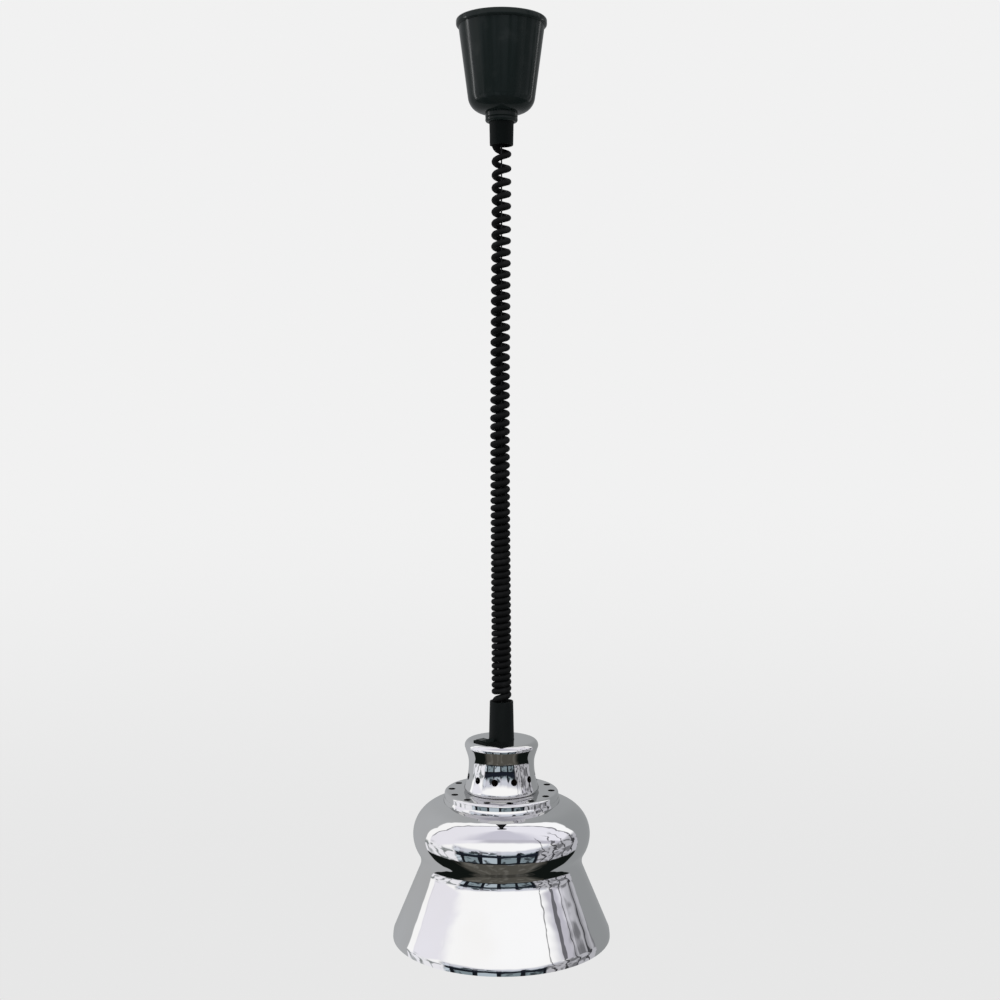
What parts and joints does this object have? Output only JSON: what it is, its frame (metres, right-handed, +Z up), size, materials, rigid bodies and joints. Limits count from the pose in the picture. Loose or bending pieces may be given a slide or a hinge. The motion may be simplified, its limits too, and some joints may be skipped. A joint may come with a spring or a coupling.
{
  "type": "pendant heat lamp",
  "caption": "Pendant heat lamp: black ceiling cup, curly cord round a reel-wound lifting cable, vented chrome neck with a rocker switch, flared chrome shade and reflector bulb.",
  "frame": {"origin": "centre of the ceiling strap at the ceiling plane", "axes": "+Z up to the ceiling, lamp hangs along -Z, front of the lamp towards -Y, +X to the right of the picture"},
  "size_m": [0.23, 0.23, 0.9736],
  "materials": {
    "chrome": "mirror chrome plate",
    "black_gloss": "glossy black moulding",
    "black_satin": "satin black moulding",
    "cord": "satin black cord sheath",
    "steel_cable": "stranded steel",
    "zinc_steel": "zinc plated sheet",
    "spring_steel": "blued spring strip",
    "white_nylon": "natural nylon",
    "brass": "plain brass",
    "porcelain": "glazed white",
    "bulb_glass": "reflector bulb glass, silvered above its widest line",
    "stem_glass": "clear glass",
    "black_glass": "black vitreous insulator",
    "tungsten": "drawn wire",
    "red_sleeve": "heat proof glass sleeving"
  },
  "bodies": {
    "ceiling_unit": {"mounting_strap": "zinc_steel", "reel_frame": "zinc_steel", "strap_rivets": "zinc_steel", "base_plate": "zinc_steel", "reel_axle": "zinc_steel", "axle_clips": "spring_steel", "reel_spacers": "white_nylon", "mainspring": "spring_steel", "guide_bush": "white_nylon", "cable_run": "steel_cable", "top_sleeve": "black_satin", "sleeve_retainer": "zinc_steel", "retainer_screws": "zinc_steel", "terminal_block": "white_nylon", "terminal_screws": "brass", "block_screws": "zinc_steel", "cord_clip": "white_nylon", "clip_screw": "zinc_steel", "upper_lead": "cord", "curly_cord": "cord", "suspension_cable": "steel_cable"},
    "reel": {"reel_drum": "white_nylon", "drum_cover": "zinc_steel", "cable_winding": "steel_cable"},
    "cup": {"ceiling_cup": "black_gloss", "cup_collar": "black_gloss", "collar_nut": "black_satin"},
    "lamp_head": {"lower_sleeve": "black_satin", "neck_shell": "chrome", "tie_rods": "zinc_steel", "hanger_plate": "zinc_steel", "hanger_nuts": "zinc_steel", "cable_ferrule": "brass", "lower_lead": "cord", "holder_pillars": "brass", "lampholder_body": "porcelain", "lampholder_shell": "brass", "centre_contact": "brass", "holder_screws": "zinc_steel", "vent_flange": "chrome", "shade": "chrome", "shade_spider": "zinc_steel", "spider_nuts": "zinc_steel", "switch_housing": "black_satin", "switch_terminals": "brass", "switch_wires": "red_sleeve"},
    "rocker": {"switch_rocker": "black_gloss"},
    "bulb": {"bulb_glass": "bulb_glass", "bulb_cap": "brass", "bulb_insulator": "black_glass", "bulb_contact": "brass", "bulb_stem": "stem_glass", "bulb_filament": "tungsten"}
  },
  "joints": [
    {"name": "lamp_drop", "type": "slide", "parent": "ceiling_unit", "child": "lamp_head", "axis": [0, 0, 1], "range_m": [-0.6, 0.1], "deforming": ["curly_cord", "suspension_cable"]},
    {"name": "reel_turn", "type": "hinge", "parent": "ceiling_unit", "child": "reel", "pos_m": [0, 0, -0.043], "axis": [0, 1, 0], "range_deg": [-330, 1940]},
    {"name": "cup_slide", "type": "slide", "parent": "ceiling_unit", "child": "cup", "axis": [0, 0, 1], "range_m": [-0.09, 0]},
    {"name": "switch_rock", "type": "hinge", "parent": "lamp_head", "child": "rocker", "pos_m": [-0.01702, -0.01532, -0.7687], "axis": [0.7431, 0.6691, 0], "range_deg": [0, 20]},
    {"name": "bulb_out", "type": "slide", "parent": "lamp_head", "child": "bulb", "axis": [0, 0, 1], "range_m": [-0.2, 0]}
  ],
  "couplings": [
    {"joint": "reel_turn", "follows": "lamp_drop", "rad_per_m": -55.463}
  ]
}
